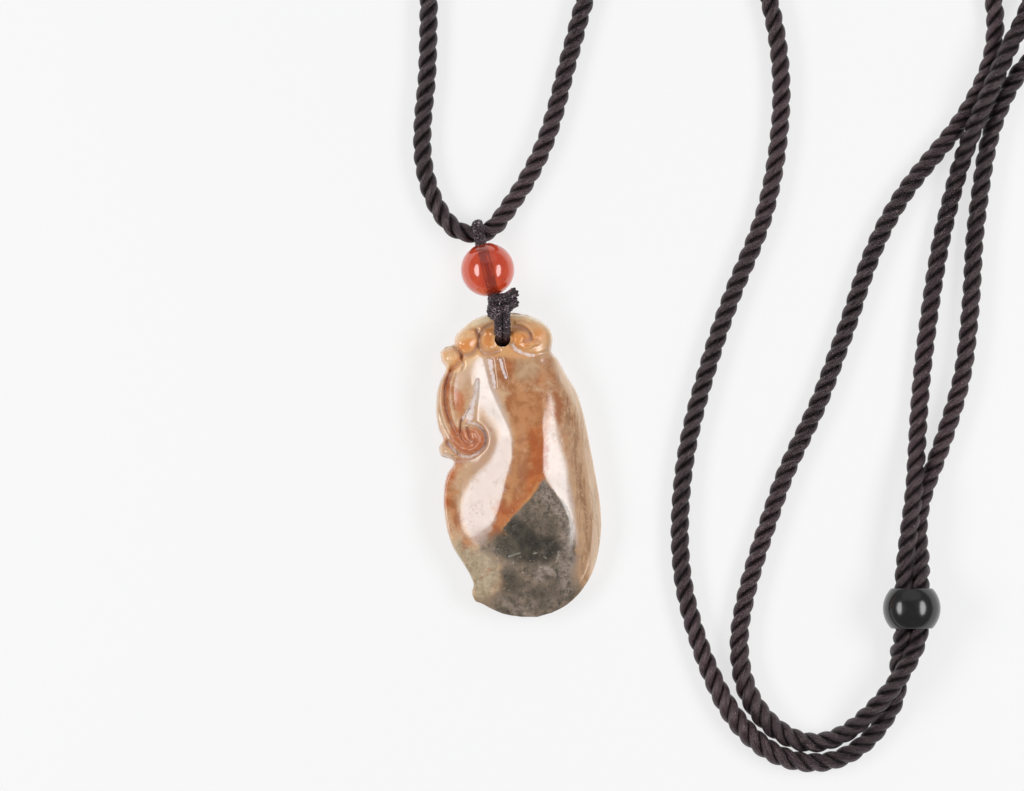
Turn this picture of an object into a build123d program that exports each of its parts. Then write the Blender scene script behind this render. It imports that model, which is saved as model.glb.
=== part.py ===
from build123d import *
import math
import os

os.makedirs("parts", exist_ok=True)

# Carved jade pendant on a twisted neck cord, lying face up on a table.
# Millimetres. The back of the stone is on the ground plane, and the stone hangs towards -Y.

# Stone
stone_length = 50.6
stone_width = 27.6
stone_thickness = 9.2
rim_wall = 1.4
back_inset = 0.9
hole_diameter = 2.6
hole_share_across = 0.4014
hole_share_up = 0.913

# Thin braided cord that carries the stone
thin_cord = 1.7
thin_cord_wrap = 0.9
wrap_width = 1.9
wrap_rounding = 0.4
shoulder_shift = 0.35
shoulder_drop = 0.6
neck_diameter = 1.2
turn_drop = 0.75
knot_cord = 1.3
piece_gap = 0.1

# Red bead
red_bead_diameter = 8.96
red_bead_bore = 2.1
red_bead_lean = 13.2

# Neck cord
cord_diameter = 3.1
cord_lift = 0.05
cord_wrap_gap = 0.12
strand_gap = 0.07
seam_gap = 0.25

# Slider bead
slider_diameter = 9.63
slider_bore = 6.5
slider_across = 65.33
slider_up = -31.57

# Knot under the red bead
knot_length = 4.2
knot_thickness = 3.1
knot_turn = -18
cut_end_length = 2.3
cut_end_diameter = 1.6

# The hanging line: the wrap round the neck cord, then each place from the one above it
wrap_across = -7.08
wrap_up = 30.75
bead_shift = 1.86
bead_clearance = 1.5
knot_shift = 2.12
knot_clearance = 2.04
knot_rest_share = 0.478
hole_shift = 0.35
stone_drop = 0.65
red_bead_across = wrap_across + bead_shift
red_bead_up = wrap_up - red_bead_diameter / 2 - bead_clearance
knot_across = red_bead_across + knot_shift
knot_up = red_bead_up - red_bead_diameter / 2 - knot_clearance
knot_height = knot_rest_share * stone_thickness + knot_thickness / 2
stone_top = knot_up - stone_drop
stone_foot = stone_top - stone_length
hole_across = knot_across + hole_shift
hole_up = stone_foot + hole_share_up * stone_length
stone_left = hole_across - hole_share_across * stone_width

# Thin cord from the knot over the stone's cap, through the hole and back up behind the stone
tie_shift = 0.1
tie_start_drop = 0.85
tie_cap_share = 0.77
tie_in_hole = 0.3
tie_behind_share = 0.73
tie_return_shift = 0.5
tie_return_rise = 0.6
TIE_BENDS = [0.82, 0.88, 0.7, 4.7, 0.65]

# Cut ends of the knot: start from the knot's middle, as shares of its thickness, and direction
CUT_ENDS = [((0.52, 0.14, -0.05), (1.5, 1.3, -0.3)), ((0.55, 0.05, 0.11), (1.6, 0.3, -0.4))]

# Mesh of the stone's carved front
stone_rows = 78
stone_columns = 34

# Outline of the stone: share of its length above the foot, share of its width from the left
LEFT_EDGE = [
    (0.000, 0.518), (0.007, 0.428), (0.021, 0.355), (0.042, 0.281), (0.054, 0.235),
    (0.081, 0.217), (0.105, 0.226), (0.135, 0.207), (0.186, 0.151), (0.236, 0.096),
    (0.306, 0.060), (0.374, 0.046), (0.430, 0.051), (0.471, 0.069), (0.509, 0.108),
    (0.518, 0.090), (0.531, 0.028), (0.556, 0.018), (0.582, 0.042), (0.622, 0.014),
    (0.682, 0.000), (0.733, 0.004), (0.773, 0.023), (0.819, 0.060), (0.844, 0.032),
    (0.869, 0.028), (0.887, 0.060), (0.897, 0.108), (0.919, 0.114), (0.960, 0.181),
    (0.993, 0.301), (1.000, 0.430),
]
RIGHT_EDGE = [
    (0.000, 0.614), (0.015, 0.705), (0.043, 0.798), (0.095, 0.890), (0.160, 0.954),
    (0.236, 0.987), (0.306, 0.998), (0.372, 0.991), (0.463, 0.964), (0.545, 0.936),
    (0.647, 0.899), (0.733, 0.853), (0.803, 0.779), (0.845, 0.738), (0.875, 0.696),
    (0.914, 0.705), (0.941, 0.692), (0.970, 0.641), (0.993, 0.548), (1.000, 0.470),
]

# Sections across the stone: share of its length above the foot, then the height of the front
# as shares of the thickness, at these shares of the section from its left edge to its right
SECTION_STATIONS = [0.0, 0.10, 0.25, 0.40, 0.53, 0.65, 0.80, 0.90, 1.0]
SECTIONS = [
    (0.000, 0.29, 0.30, 0.30, 0.30, 0.30, 0.30, 0.30, 0.30, 0.29),
    (0.041, 0.32, 0.42, 0.50, 0.54, 0.54, 0.53, 0.48, 0.41, 0.32),
    (0.120, 0.35, 0.52, 0.66, 0.73, 0.74, 0.72, 0.63, 0.51, 0.35),
    (0.252, 0.37, 0.61, 0.78, 0.87, 0.89, 0.86, 0.75, 0.58, 0.35),
    (0.417, 0.37, 0.58, 0.79, 0.95, 1.00, 0.97, 0.83, 0.62, 0.35),
    (0.565, 0.39, 0.53, 0.67, 0.87, 0.98, 0.98, 0.82, 0.60, 0.35),
    (0.713, 0.37, 0.49, 0.62, 0.80, 0.93, 0.94, 0.82, 0.61, 0.35),
    (0.812, 0.37, 0.48, 0.60, 0.74, 0.83, 0.85, 0.75, 0.59, 0.35),
    (0.895, 0.37, 0.54, 0.66, 0.74, 0.77, 0.77, 0.72, 0.60, 0.37),
    (0.951, 0.36, 0.51, 0.62, 0.67, 0.68, 0.67, 0.62, 0.51, 0.35),
    (0.984, 0.33, 0.42, 0.51, 0.55, 0.55, 0.54, 0.48, 0.41, 0.33),
    (1.000, 0.29, 0.30, 0.30, 0.30, 0.30, 0.30, 0.30, 0.30, 0.29),
]

# Carved strokes: half width and depth in millimetres, then the line that each follows, as
# shares of the stone's width from the left and of its length above the foot
STROKES = [
    (0.55, 0.90, [(0.114, 0.872), (0.163, 0.858), (0.211, 0.862), (0.253, 0.881)]),
    (0.50, 0.60, [(0.265, 0.895), (0.277, 0.927), (0.319, 0.954), (0.373, 0.974)]),
    (0.50, 0.70, [(0.289, 0.875), (0.337, 0.865), (0.386, 0.865), (0.416, 0.878)]),
    (0.50, 0.70, [(0.452, 0.964), (0.512, 0.970), (0.566, 0.957), (0.608, 0.931), (0.614, 0.908)]),
    (0.55, 0.90, [(0.464, 0.891), (0.500, 0.875), (0.548, 0.862), (0.614, 0.858), (0.681, 0.872)]),
    (0.40, 0.50, [(0.319, 0.839), (0.331, 0.796), (0.343, 0.753)]),
    (0.40, 0.50, [(0.392, 0.842), (0.410, 0.812), (0.428, 0.786)]),
    (0.65, 0.80, [(0.253, 0.776), (0.217, 0.713), (0.187, 0.647), (0.175, 0.588)]),
    (0.80, 1.00, [(0.090, 0.806), (0.072, 0.746), (0.072, 0.687), (0.102, 0.634), (0.151, 0.595)]),
    (0.50, 0.60, [(0.151, 0.558), (0.205, 0.545), (0.253, 0.562), (0.265, 0.595), (0.229, 0.614)]),
    (0.50, 0.60, [(0.066, 0.815), (0.114, 0.832), (0.139, 0.855)]),
    (0.60, 0.30, [(0.747, 0.766), (0.795, 0.680), (0.837, 0.549), (0.886, 0.417), (0.922, 0.285)]),
    (0.50, 0.50, [(0.223, 0.104), (0.277, 0.094), (0.337, 0.087)]),
]

# Heights of the neck cord's middle line: on the table, in the thin cord's wrap, in the slider
# bead, and where it lies on another stretch of itself
on_table = cord_diameter / 2 + cord_lift
in_wrap = thin_cord_wrap + cord_wrap_gap + cord_diameter / 2
in_slider = slider_diameter / 2
on_itself = on_table + cord_diameter + 0.1
slider_strand = cord_diameter / 2 + strand_gap

# Route of the neck cord, from the wrap up the left side, round the hidden arch, down to the
# slider bead, round the tail, back through the bead and up to the wrap again
ROUTE = [
    (wrap_across - seam_gap / 2, wrap_up, in_wrap), (wrap_across - 2.42, wrap_up + 0.05, in_wrap),
    (wrap_across - 4.52, wrap_up + 1.55, on_table + 0.7), (-13.7, 35.2, on_table),
    (-15.3, 39.2, on_table), (-16.2, 44.3, on_table), (-16.0, 50.6, on_table),
    (-15.3, 56.4, on_table), (-15.1, 63.4, on_table), (-15.0, 71.8, on_table),
    (-14.2, 80.2, on_table), (-11.0, 87.6, on_table), (-4.6, 92.9, on_table), (4.4, 95.9, on_table),
    (15.0, 97.2, on_table), (28.0, 97.8, on_table), (41.0, 97.4, on_table), (53.0, 95.8, on_table),
    (63.4, 92.4, on_table), (71.9, 86.8, on_table), (77.0, 79.2, on_table), (78.9, 71.4, on_table),
    (79.5, 65.4, on_table), (78.8, 59.8, on_table), (76.5, 54.1, on_table), (73.0, 48.4, on_table),
    (68.5, 43.1, on_table), (64.2, 37.8, on_table), (60.3, 31.1, on_table), (57.4, 23.9, on_table),
    (55.2, 16.8, on_table), (52.8, 10.3, on_table), (50.2, 3.1, on_table), (47.2, -3.1, on_table),
    (44.3, -9.1, on_table), (41.9, -16.1, on_table), (39.6, -22.9, on_table),
    (37.6, -29.9, on_table), (36.5, -37.0, on_table), (37.6, -44.4, on_table),
    (40.7, -49.8, on_table), (45.2, -53.1, on_table), (49.6, -54.1, on_table),
    (53.9, -52.8, on_table + 0.2), (57.2, -50.2, on_table + 1.9), (60.3, -47.0, on_table + 3),
    (63.4, -43.2, on_itself), (65.8, -39.6, on_itself),
    (slider_across + slider_strand, -36.0, in_slider),
    (slider_across + slider_strand + 0.02, -31.0, in_slider), (66.95, -27.0, on_table + 3),
    (67.0, -24.2, on_table + 1.1), (66.5, -20.2, on_table), (66.6, -16.2, on_table),
    (67.5, -11.9, on_table), (69.8, -6.2, on_table), (72.1, 0.6, on_table), (74.0, 7.3, on_table),
    (74.9, 14.8, on_table), (75.5, 22.3, on_table), (75.8, 29.8, on_table), (76.7, 36.8, on_table),
    (77.7, 43.9, on_table), (79.1, 49.4, on_table), (81.5, 55.0, on_table), (84.7, 59.6, on_table),
    (90.2, 62.8, on_table), (97.4, 63.6, on_table), (103.4, 67.4, on_table),
    (105.4, 74.2, on_table), (102.6, 81.2, on_table), (96.2, 84.3, on_table),
    (89.9, 81.2, on_table + 0.4), (86.6, 74.4, on_table + 1.6), (84.4, 67.0, on_table + 2.8),
    (81.6, 62.0, on_itself), (79.5, 57.1, on_itself), (77.3, 52.1, on_itself),
    (75.2, 47.2, on_table + 2.2), (73.5, 42.3, on_table + 0.6), (71.9, 36.4, on_table),
    (70.3, 29.8, on_table), (69.1, 22.8, on_table), (68.1, 15.6, on_table), (67.2, 8.4, on_table),
    (66.6, 1.1, on_table), (66.2, -5.8, on_table + 1.3), (65.8, -11.9, on_table + 2.9),
    (65.0, -17.7, on_itself), (64.2, -23.9, in_slider),
    (slider_across - slider_strand, -27.8, in_slider),
    (slider_across - slider_strand - 0.02, -32.2, in_slider), (63.72, -36.2, on_table + 2.9),
    (63.1, -39.1, on_table + 0.6), (63.3, -42.6, on_table), (62.9, -46.6, on_table),
    (61.2, -49.8, on_table), (58.1, -53.8, on_table), (53.8, -56.7, on_table),
    (48.8, -57.7, on_table), (43.4, -56.6, on_table), (38.6, -53.3, on_table),
    (34.7, -48.3, on_table), (31.4, -41.4, on_table), (29.1, -34.8, on_table),
    (27.4, -28.1, on_table), (26.7, -21.0, on_table), (26.9, -13.5, on_table),
    (27.7, -6.3, on_table), (29.2, 0.7, on_table), (31.2, 7.8, on_table), (33.5, 15.1, on_table),
    (36.2, 22.4, on_table), (38.9, 28.5, on_table), (41.1, 34.5, on_table), (42.6, 41.4, on_table),
    (43.5, 48.4, on_table), (43.8, 55.1, on_table), (43.3, 61.8, on_table), (42.2, 67.8, on_table),
    (40.6, 73.5, on_table), (37.4, 79.0, on_table), (32.6, 82.9, on_table), (26.4, 84.3, on_table),
    (20.4, 82.8, on_table), (15.4, 79.0, on_table), (12.3, 73.6, on_table), (10.6, 68.6, on_table),
    (9.2, 63.2, on_table), (7.6, 57.4, on_table), (6.1, 51.2, on_table), (4.2, 45.4, on_table),
    (1.5, 39.9, on_table), (-1.1, 36.0, on_table),
    (wrap_across + 3.68, wrap_up + 1.95, on_table + 0.5),
    (wrap_across + 2.08, wrap_up + 0.25, in_wrap), (wrap_across + seam_gap / 2, wrap_up, in_wrap),
]
RADIUS_SHARE = 0.45


def along(table, share):
    """Smooth value at a share of a table whose rows are (share, value)."""
    shares = [row[0] for row in table]
    values = [row[1] for row in table]
    share = min(max(share, shares[0]), shares[-1])
    i = max(k for k in range(len(shares) - 1) if shares[k] <= share)
    slopes = [(values[k + 1] - values[k]) / (shares[k + 1] - shares[k])
              for k in range(len(shares) - 1)]

    def tangent(k):
        if k == 0:
            return slopes[0]
        if k == len(shares) - 1:
            return slopes[-1]
        before, after = slopes[k - 1], slopes[k]
        return 0.0 if before * after <= 0 else 2 * before * after / (before + after)

    step = shares[i + 1] - shares[i]
    t = (share - shares[i]) / step
    return ((2 * t**3 - 3 * t**2 + 1) * values[i] + (t**3 - 2 * t**2 + t) * step * tangent(i)
            + (3 * t**2 - 2 * t**3) * values[i + 1] + (t**3 - t**2) * step * tangent(i + 1))


def distance_to_line(x, y, points):
    """Distance from a point to a line through several points."""
    nearest = math.inf
    for (ax, ay), (bx, by) in zip(points, points[1:]):
        run = (bx - ax) ** 2 + (by - ay) ** 2
        t = min(max(((x - ax) * (bx - ax) + (y - ay) * (by - ay)) / run, 0.0), 1.0)
        nearest = min(nearest, math.hypot(x - ax - t * (bx - ax), y - ay - t * (by - ay)))
    return nearest


def place_on_stone(across, up):
    return (stone_left + across * stone_width, stone_foot + up * stone_length)


CARVED = [(half, depth, [place_on_stone(*point) for point in line])
          for half, depth, line in STROKES]


def front_height(up, station, x, y):
    """Height of the carved front at a share up the stone and a share across its section."""
    across = []
    for column, place in enumerate(SECTION_STATIONS):
        across.append((place, along([(row[0], row[column + 1]) for row in SECTIONS], up)))
    height = stone_thickness * along(across, station)
    rim = 4 * station * (1 - station)
    cut = 0.0
    for half, depth, line in CARVED:
        reach = distance_to_line(x, y, line) / half
        cut = max(cut, depth * math.exp(-reach * reach))
    return height - cut * min(1.0, 4 * rim)


def row_shares():
    """Shares of the length for the rows, closer together at the stone's ends."""
    shares = []
    for i in range(stone_rows + 1):
        t = i / stone_rows
        shares.append(0.75 * t + 0.25 * (1 - math.cos(math.pi * t)) / 2)
    return shares


def carved_stone():
    """The stone as one closed solid: a carved front, a rounded rim and a flat back."""
    front = []
    for up in row_shares():
        left, right = along(LEFT_EDGE, up), along(RIGHT_EDGE, up)
        row = []
        for k in range(stone_columns + 1):
            t = k / stone_columns
            station = 0.6 * t + 0.4 * (1 - math.cos(math.pi * t)) / 2
            x, y = place_on_stone(left + station * (right - left), up)
            row.append((x, y, front_height(up, station, x, y)))
        front.append(row)
    border = (front[0] + [row[-1] for row in front[1:-1]] + front[-1][::-1]
              + [row[0] for row in front[-2:0:-1]])
    middle_x = stone_left + stone_width / 2
    middle_y = stone_foot + stone_length / 2
    shrink = 1 - 2 * back_inset / stone_width
    wall = [(x, y, rim_wall) for x, y, z in border]
    back = [(middle_x + shrink * (x - middle_x), middle_y + shrink * (y - middle_y), 0.0)
            for x, y, z in border]
    faces = []
    for low, high in zip(front, front[1:]):
        for k in range(stone_columns):
            faces.append((low[k], low[k + 1], high[k + 1]))
            faces.append((low[k], high[k + 1], high[k]))
    for upper, lower in ((border, wall), (wall, back)):
        for k, corner in enumerate(upper):
            after = (k + 1) % len(upper)
            faces.append((corner, lower[k], lower[after]))
            faces.append((corner, lower[after], upper[after]))
    faces.append(tuple(back[::-1]))
    shell = Shell([Face(Wire.make_polygon([Vector(*p) for p in face])) for face in faces])
    stone = Solid(shell)
    return stone if stone.volume > 0 else Solid(Shell([-face for face in shell.faces()]))


def tube(points, diameter, name):
    """A round tube along straight runs joined by tangent arcs."""
    radii = []
    for before, here, after in zip(points, points[1:], points[2:]):
        first, second = Vector(*here) - Vector(*before), Vector(*after) - Vector(*here)
        turn = math.radians(first.get_angle(second))
        radii.append(RADIUS_SHARE * min(first.length, second.length) / math.tan(turn / 2))
    path = FilletPolyline(*points, radius=radii)
    start = Plane(origin=path @ 0, z_dir=path % 0)
    solid = sweep(start * Circle(diameter / 2), path=path)
    section = math.pi * diameter**2 / 4
    print(f"{name}: length {path.length:.1f}, smallest radius {min(radii):.2f}, "
          f"volume {solid.volume:.1f}, section times length {section * path.length:.1f}")
    print(name, "radii", " ".join(f"{r:.1f}" for r in radii))
    return solid


def round_bar(start, end, diameter):
    """A straight round bar between two points."""
    run = Vector(*end) - Vector(*start)
    return Plane(origin=start, z_dir=run) * Cylinder(
        diameter / 2, run.length, align=(Align.CENTER, Align.CENTER, Align.MIN))


def knot_shape(grow):
    """The knot as a short bar with round ends, larger all round by the given amount."""
    radius = knot_thickness / 2 + grow
    half = (knot_length - knot_thickness) / 2
    with BuildPart() as bar:
        with BuildSketch(Plane.XY):
            with BuildLine():
                Line((-half - radius, 0), (half + radius, 0))
                CenterArc((half, 0), radius, 0, 90)
                Line((half, radius), (-half, radius))
                CenterArc((-half, 0), radius, 90, 90)
            make_face()
        revolve(axis=Axis.X)
    return Pos(*knot_middle) * Rot(0, 0, knot_turn) * bar.part


def carved_jade():
    stone = carved_stone()
    bore = Pos(hole_across, hole_up, 0) * Cylinder(hole_diameter / 2, 3 * stone_thickness)
    relief_top = thin_cord + 3 * piece_gap
    relief_start = hole_up - hole_diameter / 2 - relief_top
    top = stone_foot + stone_length + 1
    profile = [(relief_start, 0), (relief_start + relief_top, relief_top), (top, relief_top),
               (top, -1), (relief_start, -1)]
    with BuildPart() as wedge:
        with BuildSketch(Plane.YZ):
            with BuildLine():
                Polyline(*profile, close=True)
            make_face()
        extrude(amount=stone_width, both=True)
    return stone - bore - wedge.part


lean = math.radians(red_bead_lean)
bead_axis = Vector(math.sin(lean), -math.cos(lean), 0)
bead_middle = Vector(red_bead_across, red_bead_up, red_bead_diameter / 2)
bead_top = bead_middle - bead_axis * (red_bead_diameter / 2)
bead_bottom = bead_middle + bead_axis * (red_bead_diameter / 2)
knot_middle = Vector(knot_across, knot_up, knot_height)


def red_bead():
    ball = Pos(*bead_middle) * Sphere(red_bead_diameter / 2)
    bore = round_bar(bead_top - bead_axis * 2, bead_bottom + bead_axis * 2, red_bead_bore)
    return ball - bore


def hanger_loop():
    """The wrap round the neck cord, with the doubled cord that runs through the red bead."""
    inner = cord_diameter / 2 + cord_wrap_gap
    outer = inner + thin_cord_wrap
    wrap = Cylinder(outer, wrap_width)
    wrap = fillet(wrap.edges(), thin_cord_wrap * wrap_rounding)
    wrap = Pos(wrap_across, wrap_up, in_wrap) * Rot(0, 90, 0) * (
        wrap - Cylinder(inner, 2 * wrap_width))
    wrap -= Pos(*bead_middle) * Sphere(red_bead_diameter / 2 + piece_gap)
    shoulder_height = in_wrap + outer - thin_cord_wrap / 4
    shoulder = Vector(wrap_across + shoulder_shift, wrap_up - shoulder_drop, shoulder_height)
    neck = round_bar(shoulder, bead_top - bead_axis * piece_gap, neck_diameter)
    shank_diameter = red_bead_bore - 2 * piece_gap
    turn = bead_bottom + bead_axis * turn_drop
    shank = round_bar(bead_top - bead_axis * 3 * piece_gap, turn, shank_diameter)
    to_knot = round_bar(turn, knot_middle - Vector(knot_cord / 2, 0, 0), knot_cord)
    cord = wrap + neck + shank + Pos(*turn) * Sphere(shank_diameter / 2) + to_knot
    return cord - knot_shape(piece_gap)


def hanger_knot():
    """The knot with its two short cut ends on the right."""
    knot = knot_shape(0)
    for share, direction in CUT_ENDS:
        start = knot_middle + Vector(*share) * knot_thickness
        reach = Vector(*direction).normalized() * cut_end_length
        knot += round_bar(start, start + reach, cut_end_diameter)
    return knot


def pendant_tie():
    """The lower loop, over the cap, through the stone's hole and back up behind the stone."""
    behind = thin_cord / 2 + piece_gap
    over = tie_cap_share * stone_thickness + thin_cord / 2
    start_up = knot_up - tie_start_drop
    back_up = knot_up + tie_return_rise
    tie_across = hole_across + tie_shift
    return_across = hole_across + tie_return_shift
    route = [
        (tie_across, start_up, over - tie_in_hole),
        (tie_across, (start_up + hole_up) / 2 + tie_in_hole, over),
        (hole_across, hole_up + tie_in_hole, over - tie_shift),
        (hole_across, hole_up + tie_in_hole, behind + tie_shift),
        (hole_across + tie_in_hole, hole_up + tie_behind_share * (stone_top - hole_up), behind),
        (return_across, back_up, behind + tie_shift),
        (return_across, back_up, knot_height - knot_thickness / 2 + tie_shift),
    ]
    path = FilletPolyline(*route, radius=[bend * thin_cord for bend in TIE_BENDS])
    start = Plane(origin=path @ 0, z_dir=path % 0)
    return sweep(start * Circle(thin_cord / 2), path=path) - knot_shape(piece_gap)


def slider_bead():
    bead = Sphere(slider_diameter / 2) - Rot(90, 0, 0) * Cylinder(slider_bore / 2, slider_diameter)
    return Pos(slider_across, slider_up, in_slider) * bead


def neck_cord():
    return tube(ROUTE, cord_diameter, "neck_cord")


PIECES = {
    "jade_pendant": carved_jade,
    "red_bead": red_bead,
    "hanger_loop": hanger_loop,
    "hanger_knot": hanger_knot,
    "pendant_tie": pendant_tie,
    "neck_cord": neck_cord,
    "slider_bead": slider_bead,
}
for node, make in PIECES.items():
    piece = make()
    print(node, f"volume {piece.volume:.1f}", piece.bounding_box())
    export_step(piece, f"parts/{node}.step")
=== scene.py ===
import math

import bmesh
import bpy
import numpy as np
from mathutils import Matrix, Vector
from mathutils.kdtree import KDTree


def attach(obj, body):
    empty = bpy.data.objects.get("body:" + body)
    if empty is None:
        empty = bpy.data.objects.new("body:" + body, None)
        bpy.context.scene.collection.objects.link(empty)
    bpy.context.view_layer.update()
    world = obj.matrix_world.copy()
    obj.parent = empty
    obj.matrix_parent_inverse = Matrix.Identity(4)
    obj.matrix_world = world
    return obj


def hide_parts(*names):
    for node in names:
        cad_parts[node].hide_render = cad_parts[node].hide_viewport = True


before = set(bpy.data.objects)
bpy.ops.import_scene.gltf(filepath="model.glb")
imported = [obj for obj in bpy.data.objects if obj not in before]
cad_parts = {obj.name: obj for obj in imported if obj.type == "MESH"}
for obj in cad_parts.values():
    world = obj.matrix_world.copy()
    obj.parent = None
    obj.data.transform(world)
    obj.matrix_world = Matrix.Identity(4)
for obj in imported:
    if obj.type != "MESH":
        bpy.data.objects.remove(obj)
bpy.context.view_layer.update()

# Lengths below are in millimetres, and MM turns them into metres.
MM = 0.001

# The photograph is taken straight from above, with this many pixels to the millimetre, and
# this pixel at the origin. Carving and colour patches are placed by pixel.
PIXELS_PER_MM = 6.0
ORIGIN_PIXEL = (519.0, 418.6)
IMAGE_SIZE = (1024, 791)


def from_pixel(u, v):
    return (u - ORIGIN_PIXEL[0]) / PIXELS_PER_MM, (ORIGIN_PIXEL[1] - v) / PIXELS_PER_MM


def to_pixel(x, y):
    return ORIGIN_PIXEL[0] + PIXELS_PER_MM * x, ORIGIN_PIXEL[1] - PIXELS_PER_MM * y


def points_in(text):
    """Points written one after another, such as "477,331 479.5,340"."""
    return [tuple(float(number) for number in point.split(",")) for point in text.split()]


# Objects and meshes.

def add_object(name, data):
    thing = bpy.data.objects.new(name, data)
    bpy.context.scene.collection.objects.link(thing)
    return thing


def add_piece(name, mesh, material, node):
    """A visible piece that takes the place of one CAD node."""
    piece = add_object(name, mesh)
    mesh.materials.clear()
    mesh.materials.append(material)
    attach(piece, "root")
    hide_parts(node)
    return piece


def finished_mesh(name, build):
    mesh = bpy.data.meshes.new(name)
    build.to_mesh(mesh)
    build.free()
    return mesh


def new_vertices(made):
    return [part for part in made if isinstance(part, bmesh.types.BMVert)]


# Lines, tubes and twisted strands.

# A direction that no cord runs along.
ANY_SIDE = (0.13, 0.21, 1.0)


def mesh_of(curve):
    holder = bpy.data.objects.new(curve.name, curve)
    mesh = bpy.data.meshes.new_from_object(holder)
    bpy.data.objects.remove(holder)
    return mesh


def nurbs_points(control, steps=8):
    """Points in millimetres along a smooth NURBS line with these control points."""
    curve = bpy.data.curves.new("line", "CURVE")
    curve.dimensions = "3D"
    spline = curve.splines.new("NURBS")
    spline.points.add(len(control) - 1)
    for point, place in zip(spline.points, control):
        point.co = (*place, 1)
    spline.order_u = 3
    spline.use_endpoint_u = True
    spline.resolution_u = steps
    return np.array([v.co for v in mesh_of(curve).vertices])


def even_steps(points, step):
    """The same line with its points about one step apart, and how far along it each is."""
    along = np.concatenate([[0], np.cumsum(np.linalg.norm(np.diff(points, axis=0), axis=1))])
    marks = np.linspace(0, along[-1], max(int(along[-1] / step), 4) + 1)
    return np.stack([np.interp(marks, along, points[:, k]) for k in range(3)], axis=1), marks


def carried_frames(points, side=ANY_SIDE):
    """Two directions square to the line at each point, carried along it without twisting."""
    heading = np.gradient(points, axis=0)
    heading /= np.linalg.norm(heading, axis=1)[:, None]
    across = np.cross(heading[0], side)
    first = []
    for direction in heading:
        across = across - direction * np.dot(across, direction)
        across /= np.linalg.norm(across)
        first.append(across)
    first = np.array(first)
    return first, np.cross(heading, first)


def tubes_mesh(name, lines, radii, sides_setting=4):
    """One mesh of round tubes along the lines, with u round each tube and v along it."""
    curve = bpy.data.curves.new(name, "CURVE")
    curve.dimensions = "3D"
    curve.bevel_depth = MM
    curve.bevel_resolution = sides_setting
    curve.use_fill_caps = True
    for line, radius in zip(lines, radii):
        spline = curve.splines.new("POLY")
        spline.points.add(len(line) - 1)
        flat = np.ones((len(line), 4))
        flat[:, :3] = line * MM
        spline.points.foreach_set("co", flat.ravel())
        spline.points.foreach_set("radius", np.broadcast_to(radius, len(line)).astype(float))
        spline.use_smooth = True
    mesh = mesh_of(curve)
    mesh.name = name
    mesh.shade_smooth()
    return mesh


# Materials.

def colour(red, green, blue):
    """A colour given as it looks on a screen, 0 to 255, for a shader socket."""
    def linear(c):
        c /= 255
        return c / 12.92 if c <= 0.04045 else ((c + 0.055) / 1.055) ** 2.4
    return (linear(red), linear(green), linear(blue), 1.0)


class Shader:
    """A material's nodes, added one call at a time."""

    def __init__(self, name):
        self.material = bpy.data.materials.new(name)
        self.material.use_nodes = True
        self.tree = self.material.node_tree
        self.surface = self.tree.nodes["Principled BSDF"]

    def node(self, kind, *values, **named):
        """A node with these values or links in its first sockets and in its named ones."""
        node = self.tree.nodes.new("ShaderNode" + kind)
        for socket, value in zip(node.inputs, values):
            self.feed(socket, value)
        for name, value in named.items():
            self.feed(node.inputs[name], value)
        return node

    def feed(self, socket, value):
        if isinstance(value, bpy.types.NodeSocket):
            self.tree.links.new(value, socket)
        else:
            socket.default_value = value

    def set(self, **values):
        """Values or links for the surface's own sockets."""
        for socket, value in values.items():
            self.feed(self.surface.inputs[socket.replace("_", " ")], value)

    def maths(self, operation, first, second=0.0, third=0.0):
        node = self.node("Math", first, second, third)
        node.operation = operation
        return node.outputs[0]

    def times(self, first, second):
        return self.maths("MULTIPLY", first, second)

    def plus(self, first, second):
        return self.maths("ADD", first, second)

    def total(self, *parts):
        """The sum of values, each times its share."""
        values = [value if share == 1 else self.times(value, share) for value, share in parts]
        result = values.pop()
        while values:
            result = self.plus(values.pop(), result)
        return result

    def mix(self, share, first, second, blend="MIX"):
        node = self.tree.nodes.new("ShaderNodeMix")
        node.data_type = "RGBA"
        node.blend_type = blend
        for socket, value in ((0, share), (6, first), (7, second)):
            self.feed(node.inputs[socket], value)
        return node.outputs[2]

    def span(self, value, low, high, to_low=0.0, to_high=1.0):
        """A value taken from one range to another, with soft ends."""
        node = self.node("MapRange", value, low, high, to_low, to_high)
        node.interpolation_type = "SMOOTHSTEP"
        return node.outputs[0]

    def noise(self, vector, scale, detail=4.0, roughness=0.55, distortion=0.0):
        return self.node("TexNoise", vector, Scale=scale, Detail=detail, Roughness=roughness,
                         Distortion=distortion).outputs["Fac"]

    def mapped(self, vector, scale=(1, 1, 1), turn=(0, 0, 0), shift=(0, 0, 0)):
        return self.node("Mapping", vector, shift, turn, scale).outputs[0]

    def place(self):
        return self.node("TexCoord").outputs["Object"]

    def patch(self, name):
        node = self.node("Attribute")
        node.attribute_name = name
        return node.outputs["Fac"]

    def bump(self, height, distance):
        """A rough surface, its height in millimetres."""
        return self.node("Bump", 1.0, distance * MM, Height=height).outputs[0]


# The neck cord.

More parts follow.
